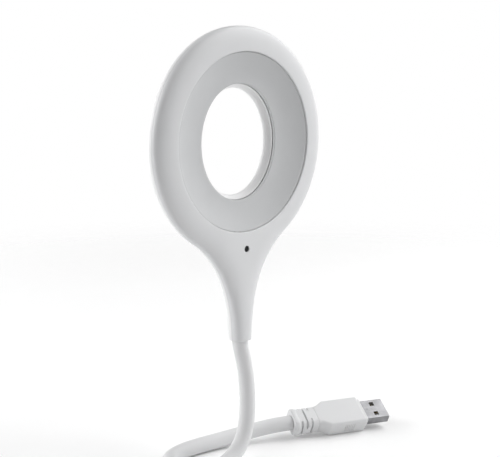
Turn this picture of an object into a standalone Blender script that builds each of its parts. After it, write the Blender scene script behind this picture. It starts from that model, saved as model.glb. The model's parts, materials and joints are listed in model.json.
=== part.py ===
"""USB ring lamp: an LED ring head with a microphone, a bendable gooseneck arm and a USB-A plug.

Metres, +Z up. The lamp stands on its arm's loop and on the plug, and its head faces -Y.
The rest pose is the standing one. Each bend of the arm is a hinge between two short links.
"""
import math

import bmesh
import bpy
import numpy as np
from mathutils import Matrix, Vector
from mathutils.geometry import interpolate_bezier

MM = 0.001
GAP = 0.3 * MM                       # clearance between touching pieces

# Where the lamp stands: the ring's centre, measured from the middle of its footprint
HEAD_PLACE = Vector((-19.3, -1.6, 147.1)) * MM

# Ring head
RING_R = 50 * MM                     # outline radius
LIGHT_R = 39.1 * MM                  # edge of the lit cone
FRONT_THICK = 4.75 * MM              # from the parting plane to the front's lip
REAR_THICK = 5.55 * MM               # from the parting plane to the flat back
FRONT_REACH = RING_R - LIGHT_R       # how far in from the outline the front's rounding goes
REAR_REACH = 7 * MM
FRONT_POWER = 2.5                    # the front's rounding is a little squarer than an ellipse
REAR_POWER = 2.0
WALL = 1.2 * MM
PARTING = 0.15 * MM                  # each shell stops this far from the parting plane
BAND = 0.65 * MM                     # straight band beside the parting plane
HOLE_FRONT = (21.9 * MM, 25.1 * MM, 1.3 * MM)     # half width, half height and depth of the hole's front edge
HOLE_WAIST = (20.3 * MM, 24.0 * MM, 3.6 * MM)
HOLE_REAR = (19.6 * MM, 23.5 * MM, 4.9 * MM)
HOLE_ROUND = 1.4 * MM                # width of the rounding between the hole and the flat back
CONE_FRONT_Y = -4.2 * MM
CONE_REAR_Y = 0.0
CONE_DISH = 1.8                      # 1 is a straight cone; more is steep outside and flat at the hole
CONE_THICK = 1.0 * MM
CONE_MARGIN = 0.5 * MM               # how far short of the hole's front edge the cone stops

# Neck
NECK_ANGLE = math.radians(33)        # where the neck's fillet leaves the ring, from straight down
COLLAR_R = 4.95 * MM
COLLAR_END = 87.5 * MM               # below the ring's centre
NECK_PAST = 8 * MM                   # how far the surface is carried past the collar before it is cut
MIC_DEPTH = 46.8 * MM
MIC_HOLE_R = 1.45 * MM
MIC_CAN = (2.0 * MM, -2.95 * MM, -0.85 * MM)      # radius, front and back
MIC_BOOT = (2.3 * MM, 3.2 * MM, -3.25 * MM, -0.5 * MM)      # inner and outer radius, front and back

# Arm
SLEEVE_R = 3.6 * MM
SLEEVE_WALL = 0.75 * MM
CORE_R = 2.45 * MM
CORE_WALL = 1.0 * MM
LEAD_R = 0.9 * MM
COLLAR_INSERT = 12 * MM              # how far the arm's core goes up into the neck
PLUG_INSERT = 9 * MM                 # how far the arm's core goes into the plug

# Route of the arm's centre line from the plug to the collar, in millimetres from the point
# on the table under the ring's centre. The loop lies on the table.
ROUTE = [
    (39.3, 4.6, 7.4), (31.5, 8.0, 7.2), (19.5, 13.2, 5.9), (6.0, 18.2, 4.3), (-7.5, 21.2, 3.7),
    (-20.0, 20.8, 3.65), (-29.6, 15.4, 3.65), (-32.8, 6.4, 3.65), (-28.0, -2.0, 3.7), (-18.6, -5.2, 4.2),
    (-10.2, -4.9, 6.5), (-4.2, -4.4, 10.8), (-0.2, -3.8, 17.5), (1.9, -3.0, 26.5), (2.5, -1.9, 37.5),
    (1.6, -0.6, 49.0), (0.0, 0.0, 59.6),
]
ROUTE_START = (-0.9135, 0.4067, 0.0)     # direction in which the arm leaves the plug
ROUTE_END = (0.0, 0.0, 1.0)              # direction in which it enters the collar

# Bends of the arm: name, distance along the arm from the plug, and axis.
# "up" turns about the vertical, "side" about the level line across the arm, "x" and "y" about those lines.
BENDS = [
    ("bend_plug_lift", 8 * MM, "side"),
    ("bend_stem_swing", 30 * MM, "up"),
    ("bend_loop_1", 50 * MM, "up"),
    ("bend_loop_2", 63 * MM, "up"),
    ("bend_loop_3", 76 * MM, "up"),
    ("bend_loop_4", 89 * MM, "up"),
    ("bend_riser_foot", 106 * MM, "side"),
    ("bend_riser_lower", 124 * MM, "x"),
    ("bend_riser_upper", 142 * MM, "y"),
    ("bend_head_tilt", 158 * MM, "x"),
]

# Plug, along its own axis from the strain relief's end
PLUG_YAW = math.radians(-24)
PLUG_ROLL = math.radians(28.5)
RELIEF_END = 12.5 * MM
SHOULDER_END = 18.5 * MM
OVERMOULD_END = 37.5 * MM
COLLAR_FRONT = 38.8 * MM
SHELL_TIP = 51.0 * MM
PLUG_BORE_R = 3.0 * MM
RELIEF_SLOTS = ((3.6 * MM, "sides"), (6.2 * MM, "faces"), (8.8 * MM, "sides"))
SLOT_HALF = 0.5 * MM                 # half width of a slot
OVERMOULD_SIZE = (16.0 * MM, 8.2 * MM)
SHELL_SIZE = (12.0 * MM, 4.5 * MM)
SHELL_WALL = 0.35 * MM
SHELL_BACK = 27 * MM
WINDOW_SIDE = 2.4 * MM               # the shell's square windows
WINDOW_X = COLLAR_FRONT + 6 * MM
WINDOW_Y = 3.1 * MM
CONTACTS = [                         # name, place across the plug and length
    ("contact_power", -3.5 * MM, 8.9 * MM),
    ("contact_data_minus", -1.0 * MM, 7.9 * MM),
    ("contact_data_plus", 1.0 * MM, 7.9 * MM),
    ("contact_ground", 3.5 * MM, 8.9 * MM),
]
CONTACT_SETBACK = 1.2 * MM           # how far behind the shell's mouth they end
CONTACT_HALF_WIDTH = 0.5 * MM
CONTACT_THICK = 0.3 * MM

# Light and electronics
LED_COUNT = 12
LED_RING_R = 33.5 * MM
BOARD_INNER_R = 28.5 * MM
BOARD_OUTER_R = 40.0 * MM
BOARD_FRONT_Y = 2.5 * MM
BOARD_THICK = 1.0 * MM
LED_HALF = (1.4 * MM, 1.75 * MM)     # half width and half length of a package
LED_TALL = 0.8 * MM
CONTROL_TOP = -44.5 * MM
CONTROL_FOOT = -61 * MM
CONTROL_FRONT_Y = 1.6 * MM
CONTROL_HALF_WIDTH = 5.6 * MM
LIGHT_LEAD_R = 0.4 * MM
LIGHT_LEAD_X = 1.6 * MM

ARC_COLUMNS = 60                     # columns round the ring, apart from the neck's
NECK_COLUMNS = 9                     # columns along each side of the neck
EDGE_ROWS = 6
CONE_SIDES = 64
CONE_ROWS = 5
TUBE_STEP = 3.6 * MM                 # spacing of the rings along the arm
END_STEP = 0.3 * MM


# ---------------------------------------------------------------- helpers

def clear_scene():
    for obj in list(bpy.data.objects):
        bpy.data.objects.remove(obj, do_unlink=True)


def make_collection(name):
    collection = bpy.data.collections.new(name)
    bpy.context.scene.collection.children.link(collection)
    return collection


def make_material(name, colour, roughness, metallic=0.0):
    material = bpy.data.materials.new(name)
    material.use_nodes = True
    shader = material.node_tree.nodes["Principled BSDF"]
    shader.inputs["Base Color"].default_value = (*colour, 1.0)
    shader.inputs["Roughness"].default_value = roughness
    shader.inputs["Metallic"].default_value = metallic
    return material


def add_object(name, mesh, material=None):
    """A new object in the lamp's collection, or a cutter where no material is given."""
    obj = bpy.data.objects.new(name, mesh)
    if material is None:
        CUTTERS.objects.link(obj)
        obj.hide_render = True
        obj.display_type = "WIRE"
    else:
        LAMP.objects.link(obj)
        mesh.materials.append(material)
    return obj


def mesh_from(name, bm):
    bmesh.ops.recalc_face_normals(bm, faces=bm.faces)
    mesh = bpy.data.meshes.new(name)
    bm.to_mesh(mesh)
    bm.free()
    return mesh


def smooth(obj, degrees=35):
    obj.data.shade_smooth()
    obj.data.set_sharp_from_angle(angle=math.radians(degrees))
    return obj


def box(name, low, high, material=None, bevel=0.0, segments=2):
    """A box from its low corner to its high corner, with its edges rounded by bevel."""
    low, high = Vector(low), Vector(high)
    bm = bmesh.new()
    bmesh.ops.create_cube(bm, size=1.0)
    bmesh.ops.scale(bm, vec=high - low, verts=bm.verts)
    bmesh.ops.translate(bm, vec=(low + high) / 2, verts=bm.verts)
    obj = add_object(name, mesh_from(name, bm), material)
    if bevel:
        modifier = obj.modifiers.new("rounding", "BEVEL")
        modifier.width = bevel
        modifier.segments = segments
    return obj


def cylinder(name, radius, start, end, material=None, sides=24):
    """A round bar from start to end."""
    start, end = Vector(start), Vector(end)
    bm = bmesh.new()
    bmesh.ops.create_cone(
        bm, cap_ends=True, segments=sides, radius1=radius, radius2=radius, depth=(end - start).length,
    )
    turn = Vector((0, 0, 1)).rotation_difference(end - start).to_matrix().to_4x4()
    bmesh.ops.transform(bm, matrix=Matrix.Translation((start + end) / 2) @ turn, verts=bm.verts)
    return add_object(name, mesh_from(name, bm), material)


def turned(name, profile, material=None, sides=48, place=(0, 0, 0)):
    """A ring turned about the Y axis through place. The profile is closed, as (radius, y) points."""
    bm = bmesh.new()
    verts = [bm.verts.new((radius, y, 0)) for radius, y in profile]
    for first, second in zip(verts[1:] + verts[:1], verts):
        bm.edges.new((first, second))
    mesh = bpy.data.meshes.new(name)
    bm.to_mesh(mesh)
    bm.free()
    obj = add_object(name, mesh, material)
    obj.location = place
    screw = obj.modifiers.new("turning", "SCREW")
    screw.axis = "Y"
    screw.steps = sides
    screw.render_steps = sides
    screw.use_merge_vertices = True
    screw.merge_threshold = 0.00001
    return obj


def cut(obj, *tools):
    for tool in tools:
        modifier = obj.modifiers.new("cut", "BOOLEAN")
        modifier.operation = "DIFFERENCE"
        modifier.object = tool
    return obj


def thicken(obj, thickness):
    """Give an open surface a wall on its inner side."""
    modifier = obj.modifiers.new("wall", "SOLIDIFY")
    modifier.thickness = thickness
    modifier.offset = -1
    return obj


def tube_curve(name, points, radius, sides_level, caps):
    """A bare tube surface along the points, as a mesh."""
    curve = bpy.data.curves.new(name, "CURVE")
    curve.dimensions = "3D"
    curve.bevel_depth = radius
    curve.bevel_resolution = sides_level
    curve.use_fill_caps = caps
    spline = curve.splines.new("POLY")
    spline.points.add(len(points) - 1)
    for spline_point, point in zip(spline.points, points):
        spline_point.co = (*point, 1.0)
    carrier = bpy.data.objects.new(name, curve)
    bpy.context.scene.collection.objects.link(carrier)
    bpy.context.view_layer.update()
    graph = bpy.context.evaluated_depsgraph_get()
    mesh = bpy.data.meshes.new_from_object(carrier.evaluated_get(graph))
    bpy.data.objects.remove(carrier, do_unlink=True)
    bm = bmesh.new()
    bm.from_mesh(mesh)
    bmesh.ops.remove_doubles(bm, verts=bm.verts, dist=0.00001)
    bpy.data.meshes.remove(mesh)
    return mesh_from(name, bm)


def grid_mesh(rows):
    """A surface through rows of points, each row closed round."""
    bm = bmesh.new()
    vert_rows = [[bm.verts.new(point) for point in row] for row in rows]
    count = len(rows[0])
    for upper, lower in zip(vert_rows, vert_rows[1:]):
        for i in range(count):
            j = (i + 1) % count
            bm.faces.new((upper[i], upper[j], lower[j], lower[i]))
    return bm


# ---------------------------------------------------------------- the arm's centre line

def clamped_spline(points, start_direction, end_direction):
    """Smooth curve through the points: second derivatives from the clamped cubic spline's equations."""
    chords = np.linalg.norm(np.diff(points, axis=0), axis=1)
    count = len(points)
    system = np.zeros((count, count))
    right = np.zeros((count, 3))
    slopes = np.diff(points, axis=0) / chords[:, None]
    system[0, 0], system[0, 1] = 2 * chords[0], chords[0]
    right[0] = 6 * (slopes[0] - start_direction)
    system[-1, -1], system[-1, -2] = 2 * chords[-1], chords[-1]
    right[-1] = 6 * (end_direction - slopes[-1])
    for i in range(1, count - 1):
        system[i, i - 1] = chords[i - 1]
        system[i, i] = 2 * (chords[i - 1] + chords[i])
        system[i, i + 1] = chords[i]
        right[i] = 6 * (slopes[i] - slopes[i - 1])
    bends = np.linalg.solve(system, right)
    samples = []
    for i, chord in enumerate(chords):
        for t in np.linspace(0, 1, 40, endpoint=False):
            a, b = (1 - t), t
            samples.append(
                a * points[i] + b * points[i + 1]
                + ((a ** 3 - a) * bends[i] + (b ** 3 - b) * bends[i + 1]) * chord ** 2 / 6
            )
    samples.append(points[-1])
    return np.array(samples)


class Arm:
    """The arm's centre line by distance from the plug, with straight runs into the plug and the neck."""

    def __init__(self):
        points = np.array(ROUTE) * MM
        start, end = np.array(ROUTE_START), np.array(ROUTE_END)
        self.samples = clamped_spline(points, start, end)
        self.start, self.end = start, end
        steps = np.linalg.norm(np.diff(self.samples, axis=0), axis=1)
        self.distances = np.concatenate([[0], np.cumsum(steps)])
        self.length = float(self.distances[-1])

    def point(self, distance):
        if distance < 0:
            return Vector(self.samples[0] + self.start * distance)
        if distance > self.length:
            return Vector(self.samples[-1] + self.end * (distance - self.length))
        return Vector([np.interp(distance, self.distances, self.samples[:, i]) for i in range(3)])

    def direction(self, distance):
        step = 0.2 * MM
        return (self.point(distance + step) - self.point(distance - step)).normalized()

    def stretch(self, start, end):
        """Points from one distance to another, with short steps that square the ends to the line."""
        count = max(2, round((end - start) / TUBE_STEP) + 1)
        inner = [start + (end - start) * i / (count - 1) for i in range(1, count - 1)]
        places = [start, start + END_STEP, *inner, end - END_STEP, end]
        return [self.point(place) for place in places]


# ---------------------------------------------------------------- the head's outline and surface

def half_outline():
    """The head's outline from straight up round the +X side to the end of the neck, as (x, z) points."""
    points = []
    for i in range(ARC_COLUMNS // 2 + 1):
        angle = (math.pi - NECK_ANGLE) * i / (ARC_COLUMNS // 2)
        points.append((RING_R * math.sin(angle), RING_R * math.cos(angle)))
    x, z = points[-1]
    leave = Vector((-math.cos(NECK_ANGLE), -math.sin(NECK_ANGLE), 0))
    fillet = interpolate_bezier(
        Vector((x, z, 0)), Vector((x, z, 0)) + leave * 17 * MM,
        Vector((COLLAR_R + 0.4 * MM, -COLLAR_END + 22 * MM, 0)), Vector((COLLAR_R, -COLLAR_END, 0)),
        NECK_COLUMNS,
    )
    points += [(point.x, point.y) for point in fillet[1:]]
    return points


def head_columns():
    """The outline's points all the way round, carried on past the collar's end to give a straight cut."""
    past = -COLLAR_END - NECK_PAST
    side = half_outline() + [(COLLAR_R, past)]
    foot = [(COLLAR_R * math.sin(math.radians(angle)), past) for angle in (60, 35, 12)]
    right = side + foot
    left = [(-x, z) for x, z in reversed(right)]
    return right + left[:-1]


def outline_distance(points, outline):
    """How far inside the outline each (x, z) point lies. The foot past the collar doesn't count."""
    points = np.array(points)
    starts = np.array(outline)
    starts[starts[:, 1] < -COLLAR_END - 1 * MM, 1] -= 20 * MM
    along = np.roll(starts, -1, axis=0) - starts
    offsets = points[:, None, :] - starts[None, :, :]
    share = np.clip((offsets * along).sum(2) / (along ** 2).sum(1), 0, 1)
    return np.linalg.norm(offsets - share[:, :, None] * along, axis=2).min(axis=1)


def neck_half_width(points):
    """Half the width of the neck at the height of each (x, z) point, or of its fillet's start above it."""
    side = np.array(half_outline()[ARC_COLUMNS // 2:])
    return np.interp(-np.array(points)[:, 1], -side[:, 1], side[:, 0])


def surface_heights(points, outline, thick, reach, power):
    """Distance from the parting plane to the outer surface: rounded from the band at the outline inwards."""
    share = np.clip(outline_distance(points, outline) / np.minimum(reach, neck_half_width(points)), 0, 1)
    return BAND + (thick - BAND) * (1 - (1 - share) ** power) ** (1 / power)


def ray_rows(inner_radius, outline):
    """Rows of (x, z) points from a circle out towards the outline, closer and closer together."""
    rows = []
    for k in range(EDGE_ROWS):
        share = math.sin(math.pi / 2 * k / EDGE_ROWS)
        row = []
        for x, z in outline:
            reach = math.hypot(x, z)
            radius = inner_radius + (reach - inner_radius) * share
            row.append((x / reach * radius, z / reach * radius))
        rows.append(row)
    return rows


def cut_collar(bm):
    """Open the neck at the collar's end."""
    bmesh.ops.bisect_plane(
        bm, geom=bm.verts[:] + bm.edges[:] + bm.faces[:],
        plane_co=(0, 0, -COLLAR_END), plane_no=(0, 0, -1), clear_outer=True,
    )


def edge_band(outline, y):
    return [(x, y, z) for x, z in outline]


def front_surface():
    outline = head_columns()
    rows = []
    for row in ray_rows(LIGHT_R, outline):
        heights = surface_heights(row, outline, FRONT_THICK, FRONT_REACH, FRONT_POWER)
        rows.append([(x, -height, z) for (x, z), height in zip(row, heights)])
    rows.append(edge_band(outline, -BAND))
    rows.append(edge_band(outline, -PARTING))
    bm = grid_mesh(rows)
    cut_collar(bm)
    return bm


def ellipse_row(half_width, half_height, y, outline):
    """Points of an upright ellipse on the outline's rays."""
    row = []
    for x, z in outline:
        reach = 1 / math.hypot(x / half_width, z / half_height)
        row.append((x * reach, y, z * reach))
    return row


def rear_surface():
    outline = head_columns()
    rows = [ellipse_row(*hole, outline) for hole in (HOLE_FRONT, HOLE_WAIST, HOLE_REAR)]
    rows.append(ellipse_row(HOLE_REAR[0] + HOLE_ROUND, HOLE_REAR[1] + HOLE_ROUND, REAR_THICK, outline))
    for row in ray_rows(RING_R - REAR_REACH, outline):
        heights = surface_heights(row, outline, REAR_THICK, REAR_REACH, REAR_POWER)
        rows.append([(x, height, z) for (x, z), height in zip(row, heights)])
    rows.append(edge_band(outline, BAND))
    rows.append(edge_band(outline, PARTING))
    bm = grid_mesh(rows)
    cut_collar(bm)
    return bm


def shell_from(name, bm, outward):
    """A housing shell from its open outer surface. outward is a direction that its largest face looks in."""
    bmesh.ops.recalc_face_normals(bm, faces=bm.faces)
    tally = sum((face.normal * face.calc_area() for face in bm.faces), Vector())
    if tally.dot(Vector(outward)) < 0:
        bmesh.ops.reverse_faces(bm, faces=bm.faces)
    mesh = bpy.data.meshes.new(name)
    bm.to_mesh(mesh)
    bm.free()
    return smooth(thicken(add_object(name, mesh, MATERIALS["white_plastic"]), WALL))


# ---------------------------------------------------------------- pieces of the head

def make_housings():
    front = shell_from("front_housing", front_surface(), (0, -1, 0))
    rear = shell_from("rear_housing", rear_surface(), (0, 1, 0))
    hole = cylinder("mic_hole_cutter", MIC_HOLE_R, (0, -9 * MM, -MIC_DEPTH), (0, -2 * MM, -MIC_DEPTH))
    cut(front, hole)
    return [front, rear, hole]


def make_diffuser():
    """The lit cone: round outside, oval where it meets the hole, and slightly dished."""
    turns = [2 * math.pi * i / CONE_SIDES for i in range(CONE_SIDES)]
    outer = LIGHT_R - GAP
    inner_x, inner_z = HOLE_FRONT[0] + CONE_MARGIN, HOLE_FRONT[1] + CONE_MARGIN
    face = []
    for k in range(CONE_ROWS + 1):
        share = k / CONE_ROWS
        y = CONE_REAR_Y + (CONE_FRONT_Y - CONE_REAR_Y) * (1 - share) ** CONE_DISH
        half_width = outer + (inner_x - outer) * share
        half_height = outer + (inner_z - outer) * share
        face.append([(half_width * math.sin(turn), y, half_height * math.cos(turn)) for turn in turns])
    back = [[(x, y + CONE_THICK, z) for x, y, z in row] for row in reversed(face)]
    bm = grid_mesh(face + back + face[:1])
    bmesh.ops.remove_doubles(bm, verts=bm.verts, dist=0.01 * MM)
    return [smooth(add_object("diffuser", mesh_from("diffuser", bm), MATERIALS["diffuser"]))]


def make_light_board():
    back = BOARD_FRONT_Y + BOARD_THICK
    profile = [
        (BOARD_INNER_R, BOARD_FRONT_Y), (BOARD_OUTER_R, BOARD_FRONT_Y),
        (BOARD_OUTER_R, back), (BOARD_INNER_R, back),
    ]
    pieces = [turned("light_board", profile, MATERIALS["board"], sides=48)]
    half_w, half_h = LED_HALF
    foot = BOARD_FRONT_Y - GAP
    for i in range(LED_COUNT):
        angle = 2 * math.pi * (i + 0.5) / LED_COUNT
        led = box(
            f"led_{i + 1:02d}", (-half_w, foot - LED_TALL, -half_h), (half_w, foot, half_h),
            MATERIALS["led"], bevel=0.15 * MM, segments=1,
        )
        led.location = (LED_RING_R * math.sin(angle), 0, LED_RING_R * math.cos(angle))
        led.rotation_euler = (0, angle, 0)
        pieces.append(led)
    return pieces


def make_control_board():
    """The neck's small board with its parts, and the microphone in front of it."""
    top = CONTROL_TOP
    seat = CONTROL_FRONT_Y - GAP
    board = box(
        "control_board", (-CONTROL_HALF_WIDTH, CONTROL_FRONT_Y, CONTROL_FOOT),
        (CONTROL_HALF_WIDTH, CONTROL_FRONT_Y + BOARD_THICK, top), MATERIALS["board"],
    )
    chip = box(
        "voice_chip", (-2.5 * MM, seat - 1.5 * MM, -57.5 * MM), (2.5 * MM, seat, -53.5 * MM),
        MATERIALS["chip"], bevel=0.2 * MM,
    )
    transistor = box(
        "led_driver", (2.4 * MM, seat - 1.1 * MM, -60.4 * MM), (5.2 * MM, seat, -59.0 * MM),
        MATERIALS["chip"], bevel=0.15 * MM,
    )
    resistor = box(
        "resistor", (-5.0 * MM, seat - 0.6 * MM, -60.2 * MM), (-1.8 * MM, seat, -58.6 * MM),
        MATERIALS["ceramic"], bevel=0.1 * MM,
    )
    capacitor = cylinder(
        "capacitor", 1.5 * MM, (4.0 * MM, seat, -51.9 * MM), (4.0 * MM, seat - 3.4 * MM, -51.9 * MM),
        MATERIALS["can"], sides=20,
    )
    can_radius, can_front, can_back = MIC_CAN
    capsule = cylinder(
        "mic_capsule", can_radius, (0, can_front, -MIC_DEPTH), (0, can_back, -MIC_DEPTH), MATERIALS["can"],
    )
    inner, outer, boot_front, boot_back = MIC_BOOT
    boot = turned(
        "mic_boot", [(inner, boot_front), (outer, boot_front), (outer, boot_back), (inner, boot_back)],
        MATERIALS["rubber"], sides=24, place=(0, 0, -MIC_DEPTH),
    )
    pieces = [board, chip, transistor, resistor, capacitor, capsule, boot]
    thick = LIGHT_LEAD_R
    for name, x in (("light_lead_plus", LIGHT_LEAD_X), ("light_lead_minus", -LIGHT_LEAD_X)):
        points = [
            (x, seat - thick, top - 0.8 * MM),
            (x, seat - thick - 0.5 * MM, top + 0.3 * MM),
            (x, seat - thick - 0.5 * MM, top + 2.5 * MM),
            (x, seat, top + 4.5 * MM),
            (x, BOARD_FRONT_Y - GAP - thick, top + 6.5 * MM),
        ]
        mesh = tube_curve(name, points, thick, 0, True)
        pieces.append(smooth(add_object(name, mesh, MATERIALS["lead"])))
    return pieces


def make_neck_ferrule():
    """The steel tube crimped on the arm's end, held in the neck."""
    outer, inner = 3.3 * MM, 2.75 * MM
    foot, top = -COLLAR_END + 0.6 * MM, -COLLAR_END + COLLAR_INSERT - 1 * MM
    ferrule = cylinder("neck_ferrule", outer, (0, 0, foot), (0, 0, top), MATERIALS["steel"], sides=20)
    bore = cylinder("neck_ferrule_bore", inner, (0, 0, foot - 2 * MM), (0, 0, top + 2 * MM), sides=20)
    cut(ferrule, bore)
    return [ferrule, bore]


# ---------------------------------------------------------------- the arm

def make_arm_pieces(arm):
    """One sleeve and one core for each link between bends, and the power lead along the whole arm."""
    ends = [0.0] + [bend[1] for bend in BENDS] + [arm.length]
    links = []
    for i, (start, end) in enumerate(zip(ends, ends[1:])):
        first, last = i == 0, i == len(ends) - 2
        sleeve_start = GAP if first else start + GAP / 2
        sleeve_end = end - GAP if last else end - GAP / 2
        core_start = -PLUG_INSERT if first else start + GAP
        core_end = end + COLLAR_INSERT if last else end - GAP
        name = f"{i + 1:02d}"
        sleeve_mesh = tube_curve("sleeve", arm.stretch(sleeve_start, sleeve_end), SLEEVE_R, 2, False)
        sleeve = add_object(f"arm_sleeve_{name}", sleeve_mesh, MATERIALS["white_plastic"])
        core_mesh = tube_curve("core", arm.stretch(core_start, core_end), CORE_R, 1, False)
        core = add_object(f"arm_core_{name}", core_mesh, MATERIALS["steel"])
        links.append([smooth(thicken(sleeve, SLEEVE_WALL)), smooth(thicken(core, CORE_WALL))])
    lead_points = arm.stretch(-PLUG_INSERT - 2 * MM, arm.length + COLLAR_INSERT + 12 * MM)
    lead = add_object("arm_lead", tube_curve("lead", lead_points, LEAD_R, 0, True), MATERIALS["lead"])
    links[0].append(smooth(lead))
    return links


# ---------------------------------------------------------------- the plug

def oval_rows(stations, count=24):
    """Rows of sections along the plug, from stations of x, half width, half height and squareness."""
    rows = []
    for x, half_w, half_h, power in stations:
        row = []
        for i in range(count):
            angle = 2 * math.pi * (i + 0.5) / count
            c, s = math.cos(angle), math.sin(angle)
            y = half_w * math.copysign(abs(c) ** (2 / power), c)
            z = half_h * math.copysign(abs(s) ** (2 / power), s)
            row.append((x, y, z))
        rows.append(row)
    return rows


def lofted(name, stations, material):
    """A closed solid through the sections, with flat ends."""
    bm = grid_mesh(oval_rows(stations))
    bmesh.ops.holes_fill(bm, edges=[edge for edge in bm.edges if edge.is_boundary], sides=0)
    return add_object(name, mesh_from(name, bm), material)


def make_strain_relief():
    """The grip on the arm's end: slots open to the sides and, between them, slots open above and below."""
    end = RELIEF_END - GAP / 2
    stations = [
        (0.0, 5.6 * MM, 4.5 * MM, 2.6),
        (0.6 * MM, 6.1 * MM, 4.9 * MM, 2.8),
        (2.4 * MM, 6.1 * MM, 4.8 * MM, 2.8),
        (end, 5.8 * MM, 4.1 * MM, 3.0),
    ]
    relief = lofted("strain_relief", stations, MATERIALS["white_plastic"])
    bore = cylinder("relief_bore", PLUG_BORE_R, (-1 * MM, 0, 0), (RELIEF_END + 2.5 * MM, 0, 0), sides=20)
    mouth = cylinder("relief_mouth", SLEEVE_R - SLEEVE_WALL, (-1 * MM, 0, 0), (0.2 * MM, 0, 0), sides=20)
    tools = [bore, mouth]
    past = 9 * MM
    for x, kind in RELIEF_SLOTS:
        for side in (-1, 1):
            if kind == "sides":
                low, high = sorted((side * 4.3 * MM, side * past))
                corners = (x - SLOT_HALF, low, -2.8 * MM), (x + SLOT_HALF, high, 2.8 * MM)
            else:
                low, high = sorted((side * 3.5 * MM, side * past))
                corners = (x - SLOT_HALF, -3.4 * MM, low), (x + SLOT_HALF, 3.4 * MM, high)
            tools.append(box("relief_slot", *corners))
    cut(relief, *tools)
    return [smooth(relief)] + tools


def make_overmould():
    half_w, half_h = OVERMOULD_SIZE[0] / 2, OVERMOULD_SIZE[1] / 2
    stations = [
        (RELIEF_END + GAP / 2, 5.8 * MM, half_h - 0.1 * MM, 3.4),
        (RELIEF_END + 2 * MM, 5.9 * MM, half_h, 4.2),
        (SHOULDER_END - 1 * MM, half_w - 0.5 * MM, half_h, 7),
        (SHOULDER_END, half_w, half_h, 8),
        (OVERMOULD_END - 0.7 * MM, half_w, half_h, 8),
        (OVERMOULD_END, half_w - 0.6 * MM, half_h - 0.6 * MM, 8),
    ]
    overmould = lofted("plug_overmould", stations, MATERIALS["white_plastic"])
    bore = cylinder("overmould_bore", PLUG_BORE_R, (RELIEF_END - 2 * MM, 0, 0), (SHELL_BACK, 0, 0), sides=20)
    room = SHELL_SIZE[0] / 2 + GAP, SHELL_SIZE[1] / 2 + GAP
    pocket = box(
        "overmould_pocket", (SHELL_BACK - 2.5 * MM, -room[0], -room[1]), (SHELL_TIP, room[0], room[1]),
    )
    cut(overmould, bore, pocket)
    return [smooth(overmould), bore, pocket]


def make_shell():
    """The plug's steel shell with two windows in each face, and the collar round its root."""
    half_w, half_h = SHELL_SIZE[0] / 2, SHELL_SIZE[1] / 2
    shell = box("usb_shell", (SHELL_BACK, -half_w, -half_h), (SHELL_TIP, half_w, half_h), MATERIALS["steel"])
    inner = box(
        "shell_inside", (SHELL_BACK - 1 * MM, -half_w + SHELL_WALL, -half_h + SHELL_WALL),
        (SHELL_TIP + 1 * MM, half_w - SHELL_WALL, half_h - SHELL_WALL),
    )
    tools = [inner]
    half, past = WINDOW_SIDE / 2, 2 * half_h
    for side in (-1, 1):
        y = side * WINDOW_Y
        tools.append(box(
            f"shell_window_{side}", (WINDOW_X - half, y - half, -past), (WINDOW_X + half, y + half, past),
        ))
    cut(shell, *tools)
    rim_w, rim_h = half_w + 0.9 * MM, half_h + 0.9 * MM
    collar = box(
        "plug_collar", (OVERMOULD_END + GAP, -rim_w, -rim_h), (COLLAR_FRONT, rim_w, rim_h),
        MATERIALS["white_plastic"], bevel=0.3 * MM,
    )
    hole = box(
        "collar_hole", (OVERMOULD_END - 2 * MM, -half_w - GAP, -half_h - GAP),
        (COLLAR_FRONT + 2 * MM, half_w + GAP, half_h + GAP),
    )
    cut(collar, hole)
    return [shell, collar, hole] + tools


def make_tongue():
    """The tongue, its four contacts and the fitting crimped on the arm's end."""
    half_w = SHELL_SIZE[0] / 2 - SHELL_WALL - GAP
    floor = -SHELL_SIZE[1] / 2 + SHELL_WALL + GAP
    top = floor + 1.7 * MM
    tongue = box(
        "usb_tongue", (SHELL_BACK - 1 * MM, -half_w, floor), (SHELL_TIP - 0.6 * MM, half_w, top),
        MATERIALS["insert"], bevel=0.15 * MM,
    )
    pieces = [tongue]
    front = SHELL_TIP - CONTACT_SETBACK
    for name, y, length in CONTACTS:
        low = (front - length, y - CONTACT_HALF_WIDTH, top + GAP)
        high = (front, y + CONTACT_HALF_WIDTH, top + GAP + CONTACT_THICK)
        pieces.append(box(name, low, high, MATERIALS["gold"], bevel=0.08 * MM, segments=1))
    ferrule = cylinder(
        "plug_ferrule", 2.85 * MM, (RELIEF_END + 1 * MM, 0, 0), (RELIEF_END + 7 * MM, 0, 0),
        MATERIALS["steel"], sides=20,
    )
    bore = cylinder(
        "plug_ferrule_bore", 1.9 * MM, (RELIEF_END, 0, 0), (RELIEF_END + 9 * MM, 0, 0), sides=20,
    )
    cut(ferrule, bore)
    return pieces + [ferrule, bore]


# ---------------------------------------------------------------- assembly

def empty(name, place, parent):
    """A carrier whose origin is where its body turns."""
    carrier = bpy.data.objects.new(name, None)
    LAMP.objects.link(carrier)
    carrier.parent = parent
    carrier.location = place
    bpy.context.view_layer.update()
    return carrier


def carry(pieces, carrier, frame=Matrix.Identity(4)):
    """Hang pieces on a carrier. frame says where their own coordinates stand in the lamp's."""
    bpy.context.view_layer.update()
    for piece in pieces:
        world = frame @ piece.matrix_basis
        piece.parent = carrier
        piece.matrix_parent_inverse = carrier.matrix_world.inverted()
        piece.matrix_basis = world


def bend_axis(arm, distance, kind):
    if kind == "up":
        return Vector((0, 0, 1))
    if kind == "x":
        return Vector((1, 0, 0))
    if kind == "y":
        return Vector((0, 1, 0))
    return arm.direction(distance).cross(Vector((0, 0, 1))).normalized()


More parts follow.
